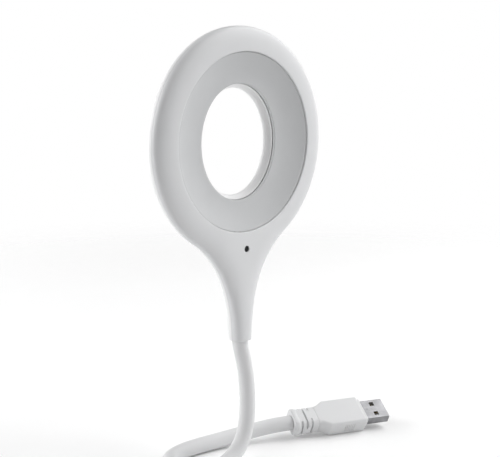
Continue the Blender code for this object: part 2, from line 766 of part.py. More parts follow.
def main():
    arm = Arm()
    foot = Vector((HEAD_PLACE.x, HEAD_PLACE.y, 0))
    ground = Matrix.Translation(foot)
    links = make_arm_pieces(arm)

    plug_point = arm.point(0.0)
    plug_turn = Matrix.Rotation(PLUG_YAW, 4, "Z") @ Matrix.Rotation(PLUG_ROLL, 4, "X")
    plug_frame = ground @ Matrix.Translation(plug_point) @ plug_turn
    carrier = empty("plug_carrier", foot + plug_point, None)
    plug_pieces = make_strain_relief() + make_overmould() + make_shell() + make_tongue()
    carry(plug_pieces, carrier, plug_frame)
    carry(links[0], carrier, ground)

    for (name, distance, kind), pieces in zip(BENDS, links[1:]):
        spot = foot + arm.point(distance)
        carrier = empty(name, spot - carrier.matrix_world.translation, carrier)
        carry(pieces, carrier, ground)
        axis = bend_axis(arm, distance, kind)
        print(name, [round(v, 5) for v in spot], [round(v, 4) for v in axis])

    head_frame = Matrix.Translation(HEAD_PLACE)
    head = make_housings() + make_diffuser() + make_light_board() + make_control_board() + make_neck_ferrule()
    carry(head, carrier, head_frame)


clear_scene()
LAMP = make_collection("usb_ring_lamp")
CUTTERS = make_collection("cutters")
MATERIALS = {
    "white_plastic": make_material("white_plastic", (0.80, 0.80, 0.81), 0.38),
    "diffuser": make_material("diffuser", (0.72, 0.73, 0.74), 0.5),
    "board": make_material("board", (0.85, 0.86, 0.84), 0.45),
    "led": make_material("led", (0.93, 0.86, 0.42), 0.35),
    "chip": make_material("chip", (0.03, 0.03, 0.03), 0.4),
    "ceramic": make_material("ceramic", (0.12, 0.11, 0.10), 0.5),
    "can": make_material("can", (0.70, 0.70, 0.72), 0.3, 1.0),
    "rubber": make_material("rubber", (0.05, 0.05, 0.05), 0.8),
    "lead": make_material("lead", (0.55, 0.06, 0.05), 0.5),
    "steel": make_material("steel", (0.62, 0.62, 0.63), 0.28, 1.0),
    "insert": make_material("insert", (0.85, 0.85, 0.84), 0.45),
    "gold": make_material("gold", (0.83, 0.62, 0.25), 0.25, 1.0),
}
main()
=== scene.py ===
"""USB ring lamp: its looks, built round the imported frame.

Metres, +Z up. The head faces -Y, the arm's loop lies on the table and the plug points to +X.
Pieces of the head are drawn from the ring's centre, and pieces of the plug along the plug's own axis.
"""

import json
import math

import bmesh
import bpy
import numpy as np
from mathutils import Matrix, Vector
from mathutils.geometry import interpolate_bezier


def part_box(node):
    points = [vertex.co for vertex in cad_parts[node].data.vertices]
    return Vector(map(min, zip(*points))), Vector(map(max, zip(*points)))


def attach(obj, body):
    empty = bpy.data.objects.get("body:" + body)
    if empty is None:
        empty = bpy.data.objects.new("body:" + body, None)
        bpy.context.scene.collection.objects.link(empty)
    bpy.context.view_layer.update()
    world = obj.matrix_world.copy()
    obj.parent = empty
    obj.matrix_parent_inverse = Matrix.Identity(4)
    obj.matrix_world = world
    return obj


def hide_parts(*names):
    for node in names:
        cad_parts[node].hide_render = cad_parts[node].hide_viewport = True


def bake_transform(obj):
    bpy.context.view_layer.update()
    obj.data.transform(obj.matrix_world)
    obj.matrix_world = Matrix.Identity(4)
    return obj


MM = 0.001


def mm(*values):
    """Values given in millimetres."""
    return tuple(value * MM for value in values)


GAP = 0.3 * MM  # clearance that the frame keeps between touching pieces
AXIS = 0.01 * MM  # how near to its axis a turned profile starts and ends
CREASE = 38  # degrees; an edge that turns more than this stays sharp
FRONT, REAR = -1, 1  # the side of the parting plane that a shell is on

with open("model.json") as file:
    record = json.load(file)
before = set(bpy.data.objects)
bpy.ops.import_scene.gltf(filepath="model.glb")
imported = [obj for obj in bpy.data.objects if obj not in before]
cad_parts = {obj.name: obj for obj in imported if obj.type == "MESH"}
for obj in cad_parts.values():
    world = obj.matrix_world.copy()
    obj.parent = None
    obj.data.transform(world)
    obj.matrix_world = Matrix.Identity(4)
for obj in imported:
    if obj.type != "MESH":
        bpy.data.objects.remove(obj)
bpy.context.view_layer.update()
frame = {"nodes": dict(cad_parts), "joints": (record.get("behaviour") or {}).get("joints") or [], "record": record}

# ---- sizes, from the frame where it has them

FRONT_LOW, FRONT_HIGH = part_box("front_housing")
REAR_LOW, REAR_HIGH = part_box("rear_housing")
LIGHT_LOW, LIGHT_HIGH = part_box("diffuser")
MIC_LOW, MIC_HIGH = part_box("mic_capsule")

RING_R = (FRONT_HIGH.x - FRONT_LOW.x) / 2
HEAD = Vector(((FRONT_LOW.x + FRONT_HIGH.x) / 2, (FRONT_HIGH.y + REAR_LOW.y) / 2, FRONT_HIGH.z - RING_R))
FRONT_THICK = HEAD.y - FRONT_LOW.y
REAR_THICK = REAR_HIGH.y - HEAD.y
COLLAR_END = HEAD.z - FRONT_LOW.z
LIGHT_R = (LIGHT_HIGH.x - LIGHT_LOW.x) / 2 + GAP
MIC_DEPTH = HEAD.z - (MIC_LOW.z + MIC_HIGH.z) / 2

FRONT_REACH = RING_R - LIGHT_R  # how far in from the outline the front's rounding goes
REAR_REACH = 7 * MM
FRONT_POWER = 2.5  # the front's rounding is a little squarer than an ellipse
REAR_POWER = 2.0
BAND = 0.65 * MM  # straight band beside the parting line
PARTING = 0.04 * MM  # half of the hairline between the two shells
WALL = 1.2 * MM
LIP = 0.5 * MM  # rounding of the shell's edge beside the light
LIP_STEPS = 5
NECK_ANGLE = math.radians(33)  # where the neck's fillet leaves the ring, from straight down
COLLAR_R = 4.95 * MM
COLLAR_ROUND = 0.4 * MM
MIC_HOLE_R = 1.45 * MM
MIC_HOLE_EASE = 0.12 * MM
HOLE_HALF_WIDTH = 19.6 * MM  # the hole at its narrowest
HOLE_HALF_HEIGHT = 23.5 * MM
HOLE_FLARE = 2.3 * MM  # how much wider it is at the front
HOLE_FRONT_Y = 1.3 * MM
HOLE_ROUND_Y = 4.6 * MM  # where the wall starts to round over into the flat back
CONE_FRONT_Y = -4.2 * MM
CONE_THICK = 1.0 * MM
CONE_DISH = 1.8  # 1 is a straight cone; more is steep outside and flat at the hole

SLEEVE_R = 3.6 * MM
SLEEVE_WALL = 0.75 * MM
CORE_R = 2.4 * MM
CORE_WALL = 0.9 * MM
WIRE_R = 0.5 * MM
COLLAR_INSERT = 12 * MM  # how far the core runs on into the neck
PLUG_INSERT = 9 * MM  # and into the plug
RISER_START = 95 * MM  # where the arm starts to leave the table, by distance from the plug
RISER_TURN = 35 * MM  # how long it takes to stand up

RELIEF_END = 12.5 * MM
SHOULDER_END = 18.5 * MM
OVERMOULD_END = 37.5 * MM
COLLAR_FRONT = 38.8 * MM
SHELL_BACK = 27 * MM
SHELL_TIP = 51 * MM
OVERMOULD_HALF = mm(8.0, 4.1)
SHELL_HALF = mm(6.0, 2.25)
SHELL_WALL = 0.35 * MM
LEAD_BORE_R = 3.0 * MM  # the hollow for the lead through the plug

ARC_COLUMNS = 200  # columns round the ring, apart from the neck's
NECK_COLUMNS = 44  # columns along each side of the neck
TUBE_SIDES = 40
TUBE_STEP = 0.9 * MM
END_STEP = 0.1 * MM

# The arm's centre line from the plug to the collar, as in the frame: millimetres from the point on
# the table under the ring's centre.
ROUTE = [
    (39.3, 4.6, 7.4), (31.5, 8.0, 7.2), (19.5, 13.2, 5.9), (6.0, 18.2, 4.3), (-7.5, 21.2, 3.7),
    (-20.0, 20.8, 3.65), (-29.6, 15.4, 3.65), (-32.8, 6.4, 3.65), (-28.0, -2.0, 3.7), (-18.6, -5.2, 4.2),
    (-10.2, -4.9, 6.5), (-4.2, -4.4, 10.8), (-0.2, -3.8, 17.5), (1.9, -3.0, 26.5), (2.5, -1.9, 37.5),
    (1.6, -0.6, 49.0), (0.0, 0.0, 59.6),
]
ROUTE_START = (-0.9135, 0.4067, 0.0)
ROUTE_END = (0.0, 0.0, 1.0)


# ---- small helpers

def add_object(name, data):
    """A new object in the scene."""
    obj = bpy.data.objects.new(name, data)
    bpy.context.scene.collection.objects.link(obj)
    return obj


def aim(obj, direction):
    """Turn a camera or a light to look along a direction."""
    obj.rotation_mode = "QUATERNION"
    obj.rotation_quaternion = direction.to_track_quat("-Z", "Y")


def turns_round(sides):
    """Angles evenly round a circle."""
    return [2 * math.pi * i / sides for i in range(sides)]


def set_sockets(node, **values):
    """Set a node's inputs by their names, with _ for a space."""
    for name, value in values.items():
        node.inputs[name.replace("_", " ")].default_value = value


# ---- camera

CAMERA_AZIMUTH = math.radians(45)  # from straight in front of the ring, towards -X
CAMERA_PITCH = math.radians(9.7)  # looking down
CAMERA_AIM = Vector((4.63, 458.13, 40.08)) * MM  # right of, in front of and above the ring's centre
LENS = 75.6


def make_camera():
    """The camera stands to one side of the head's front and looks down a little."""
    right = Vector((math.cos(CAMERA_AZIMUTH), -math.sin(CAMERA_AZIMUTH), 0))
    away = Vector((math.sin(CAMERA_AZIMUTH), math.cos(CAMERA_AZIMUTH), 0))
    data = bpy.data.cameras.new("camera")
    data.lens = LENS
    data.sensor_width = 36
    data.clip_start = 0.01
    camera = add_object("camera", data)
    camera.location = HEAD + right * CAMERA_AIM.x - away * CAMERA_AIM.y + Vector((0, 0, CAMERA_AIM.z))
    look = away * math.cos(CAMERA_PITCH) - Vector((0, 0, math.sin(CAMERA_PITCH)))
    aim(camera, look)
    bpy.context.scene.camera = camera


# ---- materials

def new_material(name):
    """A material, its node tree and its shader."""
    material = bpy.data.materials.new(name)
    material.use_nodes = True
    tree = material.node_tree
    return material, tree, tree.nodes["Principled BSDF"]


def noise(tree, scale, detail=3.0, roughness=0.5, stretch=(1, 1, 1)):
    """A noise texture in the piece's own coordinates, with so many features to the metre."""
    place = tree.nodes.new("ShaderNodeTexCoord")
    mapping = tree.nodes.new("ShaderNodeMapping")
    set_sockets(mapping, Scale=stretch)
    texture = tree.nodes.new("ShaderNodeTexNoise")
    set_sockets(texture, Scale=scale, Detail=detail, Roughness=roughness)
    tree.links.new(place.outputs["Object"], mapping.inputs["Vector"])
    tree.links.new(mapping.outputs["Vector"], texture.inputs["Vector"])
    return texture.outputs["Fac"]


def spread(tree, source, low, high):
    """The source's middle range stretched to run from low to high."""
    ranger = tree.nodes.new("ShaderNodeMapRange")
    set_sockets(ranger, From_Min=0.3, From_Max=0.7, To_Min=low, To_Max=high)
    tree.links.new(source, ranger.inputs["Value"])
    return ranger.outputs["Result"]


def tint(tree, source, low, high):
    """A colour between low and high, by the source."""
    mix = tree.nodes.new("ShaderNodeMix")
    mix.data_type = "RGBA"
    set_sockets(mix, A=(*low, 1), B=(*high, 1))
    tree.links.new(spread(tree, source, 0, 1), mix.inputs["Factor"])
    return mix.outputs["Result"]


def bump(tree, shader, source, depth):
    """Raise the surface by the source, depth metres high."""
    node = tree.nodes.new("ShaderNodeBump")
    set_sockets(node, Strength=0.5, Distance=depth)
    tree.links.new(source, node.inputs["Height"])
    tree.links.new(node.outputs["Normal"], shader.inputs["Normal"])


def plastic(name, colour, roughness, grain=2600, depth=0.012 * MM, mottle=0.006, sheen=0.0):
    """Moulded plastic: a fine grain, an uneven gloss and a slight change of tone over millimetres."""
    material, tree, shader = new_material(name)
    broad = noise(tree, 90, detail=2)
    fine = noise(tree, grain, detail=4, roughness=0.6)
    low = tuple(max(0.0, c - mottle) for c in colour)
    high = tuple(min(1.0, c + mottle) for c in colour)
    tree.links.new(tint(tree, broad, low, high), shader.inputs["Base Color"])
    gloss = spread(tree, noise(tree, 700), roughness - 0.05, roughness + 0.05)
    tree.links.new(gloss, shader.inputs["Roughness"])
    bump(tree, shader, fine, depth)
    set_sockets(shader, Sheen_Weight=sheen)
    return material


def metal(name, colour, roughness, stretch=(1, 1, 1), mottle=0.05):
    """Plated or drawn metal: fine lines along the stretch's short way and uneven gloss."""
    material, tree, shader = new_material(name)
    lines = noise(tree, 900, detail=5, roughness=0.65, stretch=stretch)
    patches = noise(tree, 260, detail=3)
    low = tuple(c * (1 - mottle) for c in colour)
    high = tuple(min(1.0, c * (1 + mottle)) for c in colour)
    tree.links.new(tint(tree, patches, low, high), shader.inputs["Base Color"])
    tree.links.new(spread(tree, lines, roughness - 0.08, roughness + 0.1), shader.inputs["Roughness"])
    bump(tree, shader, lines, 0.006 * MM)
    set_sockets(shader, Metallic=1.0)
    return material


def circuit_board(name):
    """White solder mask with the slightly raised lines of the copper under it."""
    material, tree, shader = new_material(name)
    tracks = tree.nodes.new("ShaderNodeTexBrick")
    place = tree.nodes.new("ShaderNodeTexCoord")
    mask, shade, copper = (0.80, 0.82, 0.79, 1), (0.76, 0.79, 0.75, 1), (0.60, 0.66, 0.58, 1)
    set_sockets(tracks, Scale=260, Mortar_Size=0.03, Color1=mask, Color2=shade, Mortar=copper)
    tree.links.new(place.outputs["Object"], tracks.inputs["Vector"])
    tree.links.new(tracks.outputs["Color"], shader.inputs["Base Color"])
    tree.links.new(spread(tree, noise(tree, 900), 0.35, 0.5), shader.inputs["Roughness"])
    bump(tree, shader, tracks.outputs["Fac"], 0.03 * MM)
    return material


def make_materials():
    """Every finish, by the key that the pieces use."""
    return {
        "white_plastic": plastic("satin_white_plastic", (0.66, 0.665, 0.675), 0.42),
        # The rear shell's copy of the white plastic is lighter: painted light on the hole's wall and the ring's
        # edge, which the lamps leave too dim.
        "rear_white_plastic_painted_light": plastic("white_plastic_painted_lighter", (0.82, 0.82, 0.825), 0.42),
        "sleeve": plastic("soft_white_sleeve", (0.67, 0.673, 0.68), 0.5, grain=3600, sheen=0.08),
        "diffuser": plastic("frosted_diffuser", (0.53, 0.537, 0.545), 0.55, grain=4200),
        "overmould": plastic("moulded_white_plug", (0.68, 0.683, 0.69), 0.46, grain=2200, mottle=0.008),
        "steel": metal("nickel_plated_steel", (0.31, 0.31, 0.32), 0.46, stretch=(1, 5, 5), mottle=0.14),
        "core": metal("spring_steel", (0.45, 0.45, 0.46), 0.3),
        "can": metal("drawn_aluminium", (0.70, 0.70, 0.72), 0.3, stretch=(1, 1, 0.2)),
        "gold": metal("gold_plate", (0.83, 0.60, 0.24), 0.22, mottle=0.08),
        "tinned": metal("tinned_leads", (0.66, 0.66, 0.65), 0.35),
        "board": circuit_board("white_circuit_board"),
        "phosphor": plastic("yellow_phosphor", (0.90, 0.74, 0.16), 0.4, grain=5200, mottle=0.03),
        "led": plastic("led_package", (0.86, 0.86, 0.83), 0.4, mottle=0.01),
        "chip": plastic("chip_package", (0.025, 0.025, 0.027), 0.5, grain=5200),
        "ceramic": plastic("resistor_ceramic", (0.10, 0.09, 0.085), 0.45, grain=4000, mottle=0.02),
        "rubber": plastic("black_rubber", (0.035, 0.035, 0.035), 0.75, grain=3000, mottle=0.008),
        "felt": plastic("black_felt", (0.008, 0.008, 0.009), 0.95, grain=5200, depth=0.08 * MM, mottle=0.004),
        "lead": plastic("red_wire_insulation", (0.55, 0.05, 0.04), 0.42, mottle=0.03),
        "lead_dark": plastic("black_wire_insulation", (0.03, 0.03, 0.03), 0.42, mottle=0.008),
        "insert": plastic("connector_insert", (0.74, 0.74, 0.72), 0.45, mottle=0.01),
    }


# ---- mesh helpers

def object_from(name, mesh, material, degrees=CREASE):
    """A smooth-shaded object with its creases kept, from a mesh whose faces may still look inwards."""
    bm = bmesh.new()
    bm.from_mesh(mesh)
    bmesh.ops.remove_doubles(bm, verts=bm.verts, dist=0.001 * MM)
    bmesh.ops.recalc_face_normals(bm, faces=bm.faces)
    bm.to_mesh(mesh)
    bm.free()
    mesh.shade_smooth()
    mesh.set_sharp_from_angle(angle=math.radians(degrees))
    mesh.materials.append(MATERIALS[material])
    return add_object(name, mesh)


def grid(rows, wrap=False):
    """A mesh through closed rows of points. The last row joins the first, or both ends are capped."""
    rows = np.asarray(rows, float)
    row_count, count = rows.shape[:2]
    faces = []
    for r in range(row_count if wrap else row_count - 1):
        below = (r + 1) % row_count
        for i in range(count):
            j = (i + 1) % count
            faces.append((r * count + i, r * count + j, below * count + j, below * count + i))
    if not wrap:
        faces.append(tuple(range(count)))
        faces.append(tuple(range((row_count - 1) * count, row_count * count)))
    mesh = bpy.data.meshes.new("grid")
    mesh.from_pydata([tuple(v) for v in rows.reshape(-1, 3)], [], faces)
    return mesh


def box_mesh(low, high, bevel=0.0, segments=3):
    """A box with its edges rounded by bevel."""
    low, high = Vector(low), Vector(high)
    bm = bmesh.new()
    bmesh.ops.create_cube(bm, size=1.0)
    bmesh.ops.scale(bm, vec=high - low, verts=bm.verts)
    bmesh.ops.translate(bm, vec=(low + high) / 2, verts=bm.verts)
    if bevel:
        bmesh.ops.bevel(bm, geom=bm.edges[:], offset=bevel, segments=segments, profile=0.5, affect="EDGES")
    mesh = bpy.data.meshes.new("box")
    bm.to_mesh(mesh)
    bm.free()
    return mesh


def turned_rows(profile, centre=(0, 0, 0), axis="y", sides=48):
    """Rows turned about a line through centre. The profile runs as (radius, place along the axis)."""
    rows = []
    for radius, along in profile:
        row = []
        for angle in turns_round(sides):
            across, up = radius * math.cos(angle), radius * math.sin(angle)
            row.append({"x": (along, across, up), "y": (across, along, up)}[axis])
        rows.append(np.array(row) + np.array(centre))
    return rows


def turned(profile, centre=(0, 0, 0), axis="y", sides=48):
    """The closed solid through turned_rows."""
    return grid(turned_rows(profile, centre, axis, sides))


def cut(obj, *meshes):
    """Cut the shapes out of obj, for good."""
    for mesh in meshes:
        tool = add_object("cutter", mesh)
        modifier = obj.modifiers.new("cut", "BOOLEAN")
        modifier.object = tool
        modifier.solver = "EXACT"
        bpy.context.view_layer.update()
        graph = bpy.context.evaluated_depsgraph_get()
        result = bpy.data.meshes.new_from_object(obj.evaluated_get(graph))
        obj.modifiers.clear()
        obj.data = result
        bpy.data.objects.remove(tool, do_unlink=True)
    obj.data.shade_smooth()
    obj.data.set_sharp_from_angle(angle=math.radians(CREASE))


def node_frame(node):
    """Lowest and highest corner of a node, measured from the ring's centre."""
    low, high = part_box(node)
    return low - HEAD, high - HEAD


def finish_piece(obj, body, slot, *nodes):
    """Put a piece on its body and hide the frame's nodes that it stands for. The slot is not used."""
    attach(obj, body)
    if nodes:
        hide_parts(*nodes)


def head_piece(name, mesh, material, slot, *nodes, degrees=CREASE, cuts=(), turn=Matrix()):
    """A piece of the head from a mesh about the ring's centre, with shapes cut out of it and then turned."""
    obj = object_from(name, mesh, material, degrees)
    if cuts:
        cut(obj, *cuts)
    obj.data.transform(turn)
    obj.data.transform(Matrix.Translation(HEAD))
    finish_piece(obj, "head", slot, *nodes)


# ---- the head's outline and surface

def half_outline():
    """The head's outline from straight up round the +X side to the collar's end, as (x, z) points."""
    points = []
    for i in range(ARC_COLUMNS // 2 + 1):
        angle = (math.pi - NECK_ANGLE) * i / (ARC_COLUMNS // 2)
        points.append((RING_R * math.sin(angle), RING_R * math.cos(angle)))
    x, z = points[-1]
    leave = Vector((-math.cos(NECK_ANGLE), -math.sin(NECK_ANGLE), 0))
    fillet = interpolate_bezier(
        Vector((x, z, 0)), Vector((x, z, 0)) + leave * 17 * MM,
        Vector((COLLAR_R + 0.4 * MM, -COLLAR_END + 22 * MM, 0)), Vector((COLLAR_R, -COLLAR_END, 0)),
        NECK_COLUMNS,
    )
    return points + [(point.x, point.y) for point in fillet[1:]]


def head_outline():
    """The outline all the way round, carried on past the collar's end so that it can be cut straight."""
    past = -COLLAR_END - 12 * MM
    steps = [-COLLAR_END - 3 * MM, -COLLAR_END - 7 * MM, past]
    foot = [(COLLAR_R * math.cos(math.pi / 2 * i / 6), past) for i in range(1, 6)]
    right = half_outline() + [(COLLAR_R, z) for z in steps] + foot
    left = [(-x, z) for x, z in reversed(right)]
    return np.array(right + [(0.0, past)] + left[:-1])


OUTLINE = head_outline()
RIGHT_SIDE = np.array(half_outline())


def outline_distance(points):
    """How far inside the outline each (x, z) point lies. The straight cut past the collar doesn't count."""
    limit = OUTLINE.copy()
    limit[limit[:, 1] < -COLLAR_END - 1 * MM, 1] -= 20 * MM
    along = np.roll(limit, -1, axis=0) - limit
    offsets = points[:, None, :] - limit[None, :, :]
    share = np.clip((offsets * along).sum(2) / np.maximum((along ** 2).sum(1), 1e-18), 0, 1)
    return np.linalg.norm(offsets - share[:, :, None] * along, axis=2).min(axis=1)


def neck_half_width(points):
    """Half the width of the neck at the height of each point, or of its fillet's start above it."""
    neck = RIGHT_SIDE[ARC_COLUMNS // 2:]
    return np.interp(-points[:, 1], -neck[:, 1], neck[:, 0])


def surface_height(points, side, inset):
    """Distance from the parting plane to the surface that lies inset under a shell's outer one."""
    thick, reach, power = REAR_THICK, REAR_REACH, REAR_POWER
    if side == FRONT:
        thick, reach, power = FRONT_THICK, FRONT_REACH, FRONT_POWER
    width = np.minimum(reach, neck_half_width(points)) - inset
    share = np.clip((outline_distance(points) - inset) / width, 0, 1)
    return BAND + (thick - BAND - inset) * (1 - (1 - share) ** power) ** (1 / power)


def on_circle(radius):
    """The outline's directions from the ring's centre, brought to a circle."""
    reach = np.linalg.norm(OUTLINE, axis=1)
    return OUTLINE / reach[:, None] * radius


def on_ellipse(half_width, half_height):
    """The outline's directions from the ring's centre, brought to an ellipse."""
    reach = np.hypot(OUTLINE[:, 0] / half_width, OUTLINE[:, 1] / half_height)
    return OUTLINE / reach[:, None]


def sideways(points):
    """Unit vectors square to a closed row of 2-D points: inwards if it runs clockwise, else outwards."""
    along = np.roll(points, -1, axis=0) - np.roll(points, 1, axis=0)
    along /= np.linalg.norm(along, axis=1)[:, None]
    return np.stack([along[:, 1], -along[:, 0]], axis=1)


def raised(points, y):
    """(x, z) points at a depth, or each at its own depth, as 3-D points."""
    return np.stack([points[:, 0], np.broadcast_to(y, len(points)), points[:, 1]], axis=1)


def edge_rows(start, end, side, inset, count):
    """Rows over the rounded edge from a row of points out to the outline, closer and closer together."""
    rows = []
    for k in range(1, count):
        share = math.sin(math.pi / 2 * k / count)
        points = start + (end - start) * share
        rows.append(raised(points, side * surface_height(points, side, inset)))
    return rows


def open_collar(mesh):
    """Cut the neck straight at the collar's end and round the cut's outer edge."""
    bm = bmesh.new()
    bm.from_mesh(mesh)
    level = -COLLAR_END + 2 * COLLAR_ROUND
    cut_result = bmesh.ops.bisect_plane(
        bm, geom=bm.verts[:] + bm.edges[:] + bm.faces[:], dist=1e-7,
        plane_co=(0, 0, level), plane_no=(0, 0, -1), clear_outer=True,
    )
    edges = [item for item in cut_result["geom_cut"] if isinstance(item, bmesh.types.BMEdge)]
    turns = [math.pi / 2 * step / 6 for step in range(7)]
    for last_turn, turn in zip([0.0] + turns, turns):
        fall = level - COLLAR_ROUND - COLLAR_ROUND * math.sin(turn)
        shrink = COLLAR_ROUND * (math.cos(turn) - math.cos(last_turn))
        made = bmesh.ops.extrude_edge_only(bm, edges=edges)["geom"]
        edges = [item for item in made if isinstance(item, bmesh.types.BMEdge)]
        for vert in {v for edge in edges for v in edge.verts}:
            thick = FRONT_THICK if vert.co.y < 0 else REAR_THICK
            if math.hypot(vert.co.x / COLLAR_R, vert.co.y / thick) > 0.9:
                reach = math.hypot(vert.co.x, vert.co.y)
                factor = (reach + shrink) / reach
                vert.co.x *= factor
                vert.co.y *= factor
            vert.co.z = fall
    bmesh.ops.contextual_create(bm, geom=edges)
    bmesh.ops.recalc_face_normals(bm, faces=bm.faces)
    bm.to_mesh(mesh)
    bm.free()
    return mesh


# ---- pieces of the head

def make_front_shell():
    """The front's lip round the light, its rounded rim down to the parting line, and the same inside."""
    circle = on_circle(LIGHT_R)
    rows = [raised(circle, -(FRONT_THICK - WALL))]
    for k in range(LIP_STEPS + 1):
        turn = math.pi / 2 * k / LIP_STEPS
        points = on_circle(LIGHT_R + LIP * (1 - math.cos(turn)))
        rows.append(raised(points, -(FRONT_THICK - LIP * (1 - math.sin(turn)))))
    lip = on_circle(LIGHT_R + LIP)
    rows += edge_rows(lip, OUTLINE, FRONT, 0, 34)
    rows.append(raised(OUTLINE, -BAND))
    rows.append(raised(OUTLINE, -PARTING))
    inner_outline = OUTLINE + sideways(OUTLINE) * WALL
    rows.append(raised(inner_outline, -PARTING))
    rows.append(raised(inner_outline, -BAND))
    rows += edge_rows(lip, inner_outline, FRONT, WALL, 14)[::-1]
    eased = MIC_HOLE_R + MIC_HOLE_EASE
    hole = [
        (MIC_HOLE_R, -2 * MM), (MIC_HOLE_R, -FRONT_THICK + MIC_HOLE_EASE),
        (eased, -FRONT_THICK - 0.03 * MM), (eased, -FRONT_THICK - 3 * MM),
    ]
    head_piece(
        "front_shell", open_collar(grid(rows, wrap=True)), "white_plastic", "white_plastic", "front_housing",
        cuts=[turned(hole, (0, 0, -MIC_DEPTH))],
    )


def hole_profile():
    """The hole's wall from its front edge to the flat back, as (extra width, y)."""
    wall = [
        (HOLE_FLARE + 0.9 * MM, HOLE_FRONT_Y + 0.25 * MM), (HOLE_FLARE + 0.25 * MM, HOLE_FRONT_Y),
        (HOLE_FLARE + 0.07 * MM, HOLE_FRONT_Y + 0.07 * MM), (HOLE_FLARE, HOLE_FRONT_Y + 0.25 * MM),
    ]
    sweep = interpolate_bezier(
        Vector((HOLE_FLARE, HOLE_FRONT_Y + 0.4 * MM, 0)), Vector((HOLE_FLARE * 0.7, 2.6 * MM, 0)),
        Vector((0, 3.2 * MM, 0)), Vector((0, HOLE_ROUND_Y, 0)), 14,
    )
    wall += [(point.x, point.y) for point in sweep]
    back_round = 0.95 * MM
    for k in range(1, 7):
        turn = math.pi / 2 * k / 6
        wall.append((back_round * 1.3 * (1 - math.cos(turn)), HOLE_ROUND_Y + back_round * math.sin(turn)))
    return wall


def make_rear_shell():
    """The hole's wall, the flat back, its rounded edge up to the parting line, and the same inside."""
    rows = []
    for extra, y in hole_profile():
        lift = (HOLE_HALF_HEIGHT - HOLE_HALF_WIDTH) - 0.3 * extra
        rows.append(raised(on_ellipse(HOLE_HALF_WIDTH + extra, HOLE_HALF_WIDTH + lift + extra), y))
    crest = on_circle(RING_R - REAR_REACH)
    flat_start = on_ellipse(HOLE_HALF_WIDTH + 1.6 * MM, HOLE_HALF_HEIGHT + 1.6 * MM)
    for share in (0.0, 0.35, 0.7, 1.0):
        rows.append(raised(flat_start + (crest - flat_start) * share, REAR_THICK))
    rows += edge_rows(crest, OUTLINE, REAR, 0, 22)
    rows.append(raised(OUTLINE, BAND))
    rows.append(raised(OUTLINE, PARTING))
    inner_outline = OUTLINE + sideways(OUTLINE) * WALL
    rows.append(raised(inner_outline, PARTING))
    rows.append(raised(inner_outline, BAND))
    rows += edge_rows(crest, inner_outline, REAR, WALL, 10)[::-1]
    rows.append(raised(crest, REAR_THICK - WALL))
    inside = ((1.6 * MM, REAR_THICK - WALL), (WALL, REAR_THICK - 1.9 * MM), (HOLE_FLARE + 0.9 * MM, 2.2 * MM))
    for extra, y in inside:
        rows.append(raised(on_ellipse(HOLE_HALF_WIDTH + extra, HOLE_HALF_HEIGHT + extra), y))
    shell = open_collar(grid(rows, wrap=True))
    # Its plastic is the lighter copy of the white plastic, with painted light on the hole's wall and the ring's
    # edge.
    head_piece("rear_shell", shell, "rear_white_plastic_painted_light", "white_plastic", "rear_housing")


def make_diffuser_cone():
    """The light's frosted cone: round outside, oval at the hole, slightly dished, with rounded edges."""
    sides = 240
    ring = np.array([(math.sin(turn), math.cos(turn)) for turn in turns_round(sides)])
    outer = LIGHT_R - 0.12 * MM
    clear = 0.35 * MM
    inner = np.array((HOLE_HALF_WIDTH + HOLE_FLARE + clear, HOLE_HALF_HEIGHT + 0.7 * HOLE_FLARE + clear))

    def cone_row(share, lift=0.0):
        half = outer + (inner - outer) * share
        y = CONE_FRONT_Y * (1 - share) ** CONE_DISH + lift
        return np.stack([ring[:, 0] * half[0], np.full(sides, y), ring[:, 1] * half[1]], axis=1)

    rounding = 0.25 * MM
    rows = [cone_row(0, CONE_THICK), cone_row(0, rounding), cone_row(0.002, 0.3 * rounding)]
    rows += [cone_row(0.012 + 0.98 * k / 18) for k in range(19)]
    rows += [cone_row(0.998, 0.3 * rounding), cone_row(1, rounding), cone_row(1, CONE_THICK)]
    rows += [cone_row(1 - k / 6, CONE_THICK) for k in range(1, 6)]
    head_piece("diffuser_cone", grid(rows, wrap=True), "diffuser", "diffuser", "diffuser", degrees=50)


def make_microphone():
    """The capsule's rolled can, its felt and the rubber boot that holds it."""
    centre = (0, 0, -MIC_DEPTH)
    low, high = node_frame("mic_capsule")
    radius, front, back = (high.x - low.x) / 2, low.y, high.y
    can = [
        (AXIS, front + 0.08 * MM), (radius - 0.45 * MM, front + 0.08 * MM),
        (radius - 0.38 * MM, front + 0.02 * MM), (radius - 0.15 * MM, front),
        (radius - 0.03 * MM, front + 0.1 * MM), (radius, front + 0.25 * MM),
        (radius, back - 0.15 * MM), (radius - 0.1 * MM, back), (AXIS, back),
    ]
    head_piece("mic_can", turned(can, centre), "can", "can", "mic_capsule")
    felt_front = -FRONT_THICK + 0.4 * MM
    felt_radius = MIC_HOLE_R - 0.03 * MM
    pad = [
        (AXIS, felt_front + 0.1 * MM), (0.6 * MM, felt_front + 0.06 * MM),
        (felt_radius - 0.2 * MM, felt_front), (felt_radius, felt_front + 0.1 * MM),
        (felt_radius, front + 0.05 * MM), (AXIS, front + 0.05 * MM),
    ]
    head_piece("mic_felt", turned(pad, centre), "felt", "rubber")
    low, high = node_frame("mic_boot")
    outer, front, back = (high.x - low.x) / 2, low.y, high.y
    neck = radius + 0.05 * MM
    mouth = 1.55 * MM
    ring = [
        (neck, back), (neck, front + 0.25 * MM), (mouth, front + 0.13 * MM), (mouth, front),
        (outer - 0.3 * MM, front), (outer - 0.05 * MM, front + 0.2 * MM), (outer, front + 0.7 * MM),
        (outer - 0.3 * MM, front + 1.1 * MM), (outer, front + 1.5 * MM), (outer, back - 0.1 * MM),
        (outer - 0.1 * MM, back),
    ]
    boot = grid(turned_rows(ring, centre), wrap=True)
    head_piece("mic_rubber_boot", boot, "rubber", "rubber", "mic_boot")


# ---- electronics inside the head

